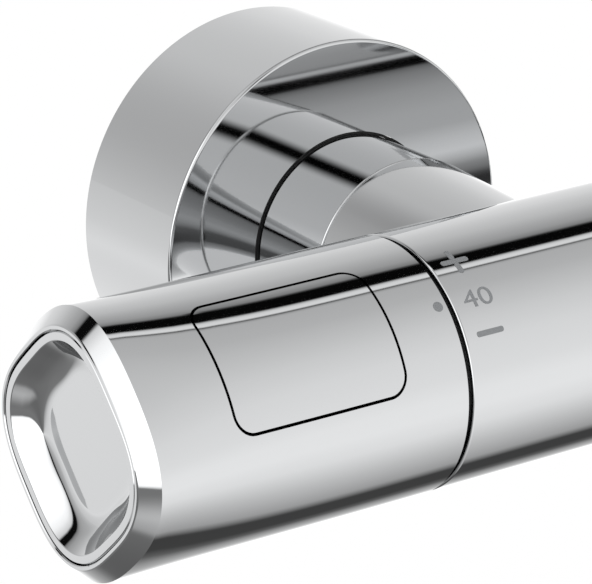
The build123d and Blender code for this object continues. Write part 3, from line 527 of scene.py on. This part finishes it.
BUTTON_NAMES = {-1: "safe_stop", 1: "eco_stop"}
for side, (_, name) in SIDES.items():
    shell = handle_skin(side, inner=True)
    cut(shell, button_block(side, 0.0))
    settle(shell, name + "_handle_shell", handle_chrome)
    dress(shell, name + "_handle", "handle_chrome", name + "_handle")
    button = handle_skin(side, inner=False)
    cut(button, button_block(side, BUTTON_GAP), "INTERSECT")
    core = turned((side * SEAM_X, BAR_Y, 0), (side, 0, 0), [(0, 19.5), (60, 19.5)], segments=160)
    cut(button, core)
    button_name = BUTTON_NAMES[side] + "_button"
    dress(settle(button, button_name + "_skin", handle_chrome), button_name, "handle_chrome", button_name)
print("button", round(BUTTON_WIDTH, 1), "mm wide")

# %% [markdown]
# The cap closes a handle's end. It has a narrow flat border, a sloping wall and a flat floor,
# which lies 4 mm deep, as in the picture, against 2 mm in the construction model.
# The wall gives the end its bright and dark patches and its rounded foot draws the dark line.

# %% Caps
BORDER_R = 16.7
CAP_SEAT = 58.9
CAP_TOP = HANDLE_LENGTH - 0.15
CAP_R = 18.05
CAP_BACK, CAP_BACK_R = 57.5, 15.3
DISH = 4.0
FLOOR_R = BORDER_R - DISH
FILLET = 1.8


def cap_square(_, reach):
    """The border and the wall are as square as the rim; the floor gets rounder inwards."""
    return RIM_SQUARE * min(1.0, (reach / FLOOR_R) ** 2)


for side, (_, name) in SIDES.items():
    foot = CAP_TOP - DISH
    dish = [(CAP_TOP - 0.03, BORDER_R - 0.08), (CAP_TOP - 0.12, BORDER_R - 0.22)]
    wall = (BORDER_R - FLOOR_R) / DISH
    dish += [(CAP_TOP - DISH * 0.35, BORDER_R - DISH * 0.35 * wall)]
    dish += [(foot + FILLET / wall, FLOOR_R + FILLET)]
    for step in range(1, 13):
        part = step / 12
        rise = FILLET / wall * (1 - part) ** 2
        dish.append((foot + rise, FLOOR_R + FILLET - 2 * FILLET * part))
    dish += [(foot, radius) for radius in (10.0, 8.0, 5.0, 2.5, 1.0)]
    cap = turned(
        (side * SEAM_X, BAR_Y, 0),
        (side, 0, 0),
        [(CAP_BACK, 1.0), (CAP_BACK, CAP_BACK_R), (CAP_SEAT, CAP_BACK_R), (CAP_SEAT, CAP_R)]
        + [(CAP_TOP - 0.2, CAP_R), (CAP_TOP, CAP_R - 0.2), (CAP_TOP, BORDER_R)]
        + dish,
        segments=192,
    )
    squared(cap, side, cap_square)
    settle(cap, name + "_cap_skin", handle_chrome)
    dress(cap, name + "_handle", "handle_chrome", name + "_handle_cap")
print("dish", DISH, "mm deep")

# %% [markdown]
# ## The outlets
# The riser collar on top and the hose nipple below keep their construction solids' shapes, but
# their round skins are remodelled so that they mirror cleanly. The hose thread is a real
# ridge: G 1/2 has 14 turns to the inch, so one turn each 1.814 mm.

# %% Riser collar and hose outlet
collar = turned(
    (0, BAR_Y, 0),
    (0, 0, 1),
    [(21, 6.5), (21, 10.4), (30, 10.4), (30, 14.1)]
    + rounded(30, 14.1, 30.4, 14.5, "distance first")
    + [(42, 14.5), (53.4, 14.5)]
    + rounded(53.4, 14.5, 54, 13.9, "radius first")
    + [(54, 11.6), (53.5, 11.05), (32, 11.05), (32, 6.5)],
    segments=192,
    closed=True,
)
dress(settle(collar, "riser_collar_skin", chrome), "mixer", "chrome", "riser_collar")


def threaded(origin, along, stations, crest, pitch, length, start, name, *replaced):
    """A tube with a thread: a helical ridge turned by the screw modifier round a plain core."""
    core = turned(origin, along, stations, segments=128, closed=True)
    settle(core, name, chrome)
    bpy.ops.mesh.primitive_circle_add(vertices=3, radius=pitch * 0.5 * MM)
    ridge = bpy.context.object
    bpy.ops.object.transform_apply(location=False, rotation=False, scale=False)
    section = ((crest - 1.0, -0.45), (crest - 1.0, 0.45), (crest, 0.0))
    for vertex, (across, up) in zip(ridge.data.vertices, section):
        vertex.co = Vector((across, 0, up * pitch)) * MM
    turns = int((length - pitch) / pitch)
    modify(
        ridge,
        "SCREW",
        axis="Z",
        angle=2 * math.pi * turns,
        screw_offset=pitch * turns * MM,
        steps=48 * turns,
        render_steps=48 * turns,
        use_normal_calculate=True,
    )
    ridge.matrix_world = Matrix.Translation(
        (Vector(origin) + Vector(along) * (start + pitch / 2)) * MM
    ) @ Vector(along).to_track_quat("Z", "Y").to_matrix().to_4x4()
    only(ridge)
    bpy.ops.object.mode_set(mode="EDIT")
    bpy.ops.mesh.select_all(action="SELECT")
    bpy.ops.mesh.fill_holes(sides=0)
    bpy.ops.object.mode_set(mode="OBJECT")
    settle(ridge, name + "_thread", chrome)
    for piece in (core, ridge):
        dress(piece, "mixer", "chrome", *replaced)


threaded(
    (0, BAR_Y, 0),
    (0, 0, -1),
    [(21, 6.5), (21, 10.4), (30, 10.4), (30, 9.6), (49.2, 9.6), (50, 8.9), (50, 6.5)],
    10.45,
    1.814,
    13.4,
    36.2,
    "hose_outlet_skin",
    "hose_outlet",
)
bpy.ops.mesh.primitive_cylinder_add(
    vertices=6, radius=12.9 * MM, depth=6 * MM, location=(0, BAR_Y * MM, -33 * MM)
)
hexagon = bpy.context.object
bpy.ops.object.transform_apply(location=False, rotation=False, scale=False)
modify(hexagon, "BEVEL", width=0.35 * MM, segments=3)
dress(settle(hexagon, "hose_hexagon_skin", chrome), "mixer", "chrome", "hose_outlet")
print("thread pitch 1.814 mm")

# %% [markdown]
# ## Dial marks
# The marks on such a bar are printed or etched, a matte mid grey on the chrome. Each one is
# drawn flat, cut into narrow strips so that it can bend, and then wrapped round the bar a
# few hundredths of a millimetre above its skin.

# %% Dial marks
mark_grey = grained("etched_grey_mark", "747678", "828486", 0.2, 0.0, 0.6, 0.004)


def wrapped(mark, name, body, skin_r, centre_x, centre_angle):
    """Bend a flat mark round the bar's axis; its own X stays along the bar."""
    only(mark)
    bpy.ops.object.mode_set(mode="EDIT")
    bpy.ops.mesh.select_all(action="SELECT")
    for strip in range(-12, 13):
        bpy.ops.mesh.select_all(action="SELECT")
        bpy.ops.mesh.bisect(plane_co=(0, strip * 0.25 * MM, 0), plane_no=(0, 1, 0))
    bpy.ops.object.mode_set(mode="OBJECT")
    modify(mark, "SOLIDIFY", thickness=0.03 * MM, offset=1)
    for vertex in mark.data.vertices:
        flat = vertex.co / MM
        angle = math.radians(centre_angle) + flat.y / skin_r
        reach = skin_r + 0.005 + abs(flat.z)
        place = Vector((centre_x + flat.x, BAR_Y - reach * math.cos(angle), reach * math.sin(angle)))
        vertex.co = place * MM
    settle(mark, name, mark_grey, smooth=20)
    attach(mark, body)


def written(words, width, height):
    """Text as a flat mesh of this size, centred on its own middle."""
    bpy.ops.object.text_add()
    text = bpy.context.object
    text.data.body = words
    text.data.resolution_u = 8
    bpy.ops.object.convert(target="MESH")
    text = bpy.context.object
    low = [min(v.co[i] for v in text.data.vertices) for i in (0, 1)]
    high = [max(v.co[i] for v in text.data.vertices) for i in (0, 1)]
    for vertex in text.data.vertices:
        vertex.co.x = ((vertex.co.x - low[0]) / (high[0] - low[0]) - 0.5) * width * MM
        vertex.co.y = ((vertex.co.y - low[1]) / (high[1] - low[1]) - 0.5) * height * MM
    return text


def stroke(width, height):
    """A flat bar with rounded ends."""
    bpy.ops.mesh.primitive_plane_add(size=1)
    bar_mark = bpy.context.object
    bar_mark.scale = (width * MM, height * MM, 1)
    bpy.ops.object.transform_apply(location=False, rotation=False, scale=True)
    bpy.ops.object.mode_set(mode="EDIT")
    bpy.ops.mesh.select_all(action="SELECT")
    bpy.ops.mesh.bevel(offset=min(width, height) * 0.45 * MM, segments=6, affect="VERTICES")
    bpy.ops.object.mode_set(mode="OBJECT")
    return bar_mark


MARK_X = -SEAM_X + 5.15
wrapped(written("40", 5.6, 3.1), "mark_forty", "mixer", BAR_R, MARK_X, 43.9)
wrapped(stroke(5.3, 0.95), "mark_minus", "mixer", BAR_R, MARK_X - 0.05, 28.0)
wrapped(stroke(5.3, 1.0), "mark_plus_along", "mixer", BAR_R, MARK_X - 0.1, 63.8)
for part, middle in (("low", -1.55), ("high", 1.55)):
    angle = 63.8 + math.degrees(middle / BAR_R)
    wrapped(stroke(1.0, 2.2), "mark_plus_" + part, "mixer", BAR_R, MARK_X - 0.1, angle)
bpy.ops.mesh.primitive_circle_add(vertices=32, radius=0.88 * MM, fill_type="NGON")
wrapped(bpy.context.object, "mark_dot", "temperature_handle", 21.57, -SEAM_X - 2.71, 43.9)
print("marks at", MARK_X, "mm")

# %% [markdown]
# ## The studio
# Polished metal shows its surroundings, so the studio is part of the finish. It is a plain
# room whose light changes with the angle round the bar and from its left half to its right:
# brightest in front, dimmer overhead, with one dark strip above and one below. Those strips
# draw the black lines that tell the eye it is looking at chrome. The camera sees plain white.

# %% The room's light
# Angle round the bar in degrees (0 in front, 90 overhead, 180 at the wall), and the screen grey
# that the chrome shows when it mirrors that angle. One list is for the right half, one for the
# left. About half of the right-hand greys are tones read off the photograph's chrome at points
# that mirror those angles. The other values were set to match its tones.
ROOM_RIGHT = [
    (-180, 200), (-165, 225), (-150, 240), (-140, 208), (-131, 162), (-122, 136), (-115, 84),
    (-109, 58), (-96, 58), (-92, 110), (-87, 150), (-67, 184), (-46, 217), (-30, 226), (-16, 225),
    (0, 217), (25, 211), (45, 200), (56, 191), (66, 183), (76, 174), (91, 168), (92.8, 60), (94.2, 212),
    (98, 200), (99.5, 6), (110.5, 6), (112.5, 120), (118, 148), (137, 180), (160, 197), (180, 200),
]
ROOM_LEFT = [
    (-180, 190), (-165, 200), (-157, 212), (-145, 196), (-135, 160), (-128, 115), (-115, 108),
    (-100, 105), (-80, 98), (-66, 100), (-45, 114), (-31, 112), (-27, 246), (-20, 255), (0, 255),
    (60, 255), (100, 240), (115, 200), (119, 10), (131, 10), (134, 120), (141, 150), (150, 160),
    (160, 166), (170, 175), (180, 185),
]
CHROME_SHARE = colour(CHROME_BASE)[0]
world = bpy.data.worlds.new("studio_room")
bpy.context.scene.world = world
world.use_nodes = True
room = world.node_tree
room.nodes.clear()


def ranged(value, low, high, to_low, to_high):
    """A smooth step between two values of one direction's number."""
    step = add_node(room, "ShaderNodeMapRange", [(value, "Value")], interpolation_type="SMOOTHSTEP")
    for name, number in (("From Min", low), ("From Max", high), ("To Min", to_low), ("To Max", to_high)):
        step.inputs[name].default_value = number
    return step.outputs[0]


def combined(operation, first, second):
    """One sum or product of two numbers, each a socket or a plain value."""
    node = add_node(room, "ShaderNodeMath", operation=operation)
    for socket, value in zip(node.inputs, (first, second)):
        if isinstance(value, float):
            socket.default_value = value
        else:
            room.links.new(value, socket)
    return node.outputs[0]


def light_round(share, table):
    """The room's light round the bar, from a table of angles and greys."""
    ramp = add_node(room, "ShaderNodeValToRGB", [(share, "Fac")])
    stops = ramp.color_ramp.elements
    while len(stops) < len(table):
        stops.new(0.5)
    for stop, (angle, _) in zip(stops, table):
        stop.position = (angle + 180) / 360
    for stop, (_, grey) in zip(stops, table):
        level = 2.2 if grey == 255 else colour(f"{grey:02X}" * 3)[0] / CHROME_SHARE
        stop.color = (level, level, level, 1.0)
    return ramp.outputs["Color"]


looking = add_node(room, "ShaderNodeTexCoord")
split = add_node(room, "ShaderNodeSeparateXYZ", [(looking.outputs["Generated"], "Vector")])
x_way, y_way, z_way = split.outputs[:3]
forward = combined("MULTIPLY", y_way, -1.0)
angle_round = combined("ARCTAN2", z_way, forward)
share = combined("ADD", combined("MULTIPLY", angle_round, 1 / (2 * math.pi)), 0.5)
sides = add_node(room, "ShaderNodeMix", data_type="RGBA")
behind = ranged(y_way, -0.1, 0.1, 0.0, 1.0)
side_behind = combined("MULTIPLY", ranged(x_way, -0.5, 0.1, 0.0, 1.0), behind)
in_front = combined("SUBTRACT", 1.0, behind)
side_in_front = combined("MULTIPLY", ranged(x_way, -0.75, -0.55, 0.0, 1.0), in_front)
room.links.new(combined("ADD", side_behind, side_in_front), sides.inputs[0])
room.links.new(light_round(share, ROOM_LEFT), sides.inputs[6])
room.links.new(light_round(share, ROOM_RIGHT), sides.inputs[7])
# A dark post stands straight in front; its mirror image crosses the union nuts as a black band.
beside = combined("ABSOLUTE", combined("SUBTRACT", x_way, 0.05), 0.0)
height = combined("ABSOLUTE", combined("SUBTRACT", angle_round, math.radians(38)), 0.0)
post = combined("MULTIPLY", ranged(beside, 0.03, 0.17, 1.0, 0.0), ranged(height, 0.2, 0.35, 1.0, 0.0))
posted = add_node(room, "ShaderNodeMix", data_type="RGBA")
room.links.new(post, posted.inputs[0])
room.links.new(sides.outputs[2], posted.inputs[6])
posted.inputs[7].default_value = (0.002, 0.002, 0.002, 1.0)
seen = add_node(room, "ShaderNodeLightPath")
lit = add_node(room, "ShaderNodeBackground", [(posted.outputs[2], "Color")])
plain = add_node(room, "ShaderNodeBackground", Color=(1, 1, 1, 1))
choice = add_node(room, "ShaderNodeMixShader")
room.links.new(seen.outputs["Is Camera Ray"], choice.inputs[0])
room.links.new(lit.outputs[0], choice.inputs[1])
room.links.new(plain.outputs[0], choice.inputs[2])
add_node(room, "ShaderNodeOutputWorld", [(choice.outputs[0], "Surface")])
print("stops in the room's light:", len(ROOM_LEFT), "left and", len(ROOM_RIGHT), "right")

# %% [markdown]
# The floor is a wide pale sheet well below the valve, which hangs on a wall that isn't drawn.
# It takes the valve's soft shadow. It is kept out of the mirror finish, whose lower half the
# room's light already draws.

# %% Floor and lamp
bpy.ops.mesh.primitive_plane_add(size=6, location=(0, 0, -0.30))
floor = bpy.context.object
floor.name = "studio_floor"
floor_paint, tree = new_material("matte_white_paint")
paint = add_node(tree, "ShaderNodeBsdfDiffuse", Color=colour("F4F4F4"))
glow = add_node(tree, "ShaderNodeEmission", Color=(1, 1, 1, 1), Strength=1.03)
ray = add_node(tree, "ShaderNodeLightPath")
how_white = add_node(tree, "ShaderNodeMath", [(ray.outputs["Is Camera Ray"], "Value")], operation="MULTIPLY")
how_white.inputs[1].default_value = 0.85
both = add_node(tree, "ShaderNodeMixShader")
tree.links.new(how_white.outputs[0], both.inputs[0])
tree.links.new(paint.outputs[0], both.inputs[1])
tree.links.new(glow.outputs[0], both.inputs[2])
finish_material(tree, both)
floor.data.materials.append(floor_paint)
floor.visible_glossy = False
bpy.ops.object.light_add(type="SUN", location=(0, 0, 1), rotation=(math.radians(35), math.radians(-20), 0))
lamp = bpy.context.object
lamp.data.energy = 0.4
lamp.data.angle = math.radians(40)
lamp.visible_glossy = False
print("floor at -0.30 m")

# %% [markdown]
# ## The camera
# The picture was taken from the left, a little above, with a long lens. The angles, distance
# and lens below were fitted to the edges of the handle, the rosette and the seam.

# %% The camera
AZIMUTH, ELEVATION, ROLL = math.radians(-34.427), math.radians(19.581), math.radians(-0.768)
backwards = Vector(
    (math.sin(AZIMUTH) * math.cos(ELEVATION), -math.cos(AZIMUTH) * math.cos(ELEVATION), math.sin(ELEVATION))
)
level_right = Vector((math.cos(AZIMUTH), math.sin(AZIMUTH), 0))
level_up = backwards.cross(level_right)
right = level_right * math.cos(ROLL) + level_up * math.sin(ROLL)
up = level_up * math.cos(ROLL) - level_right * math.sin(ROLL)
spot = Vector((-SEAM_X, BAR_Y, 0)) + backwards * 605.99 + right * -16.01 + up * 11.70
bpy.ops.object.camera_add()
camera = bpy.context.object
camera.data.lens = 226.08
camera.data.sensor_width = 36.0
camera.data.clip_start = 0.01
camera.data.clip_end = 20.0
camera.matrix_world = Matrix.Translation(spot * MM) @ Matrix((right, up, backwards)).transposed().to_4x4()
bpy.context.scene.camera = camera
bpy.context.scene.view_settings.view_transform = "Standard"
print("camera at", [round(v, 1) for v in spot], "mm")
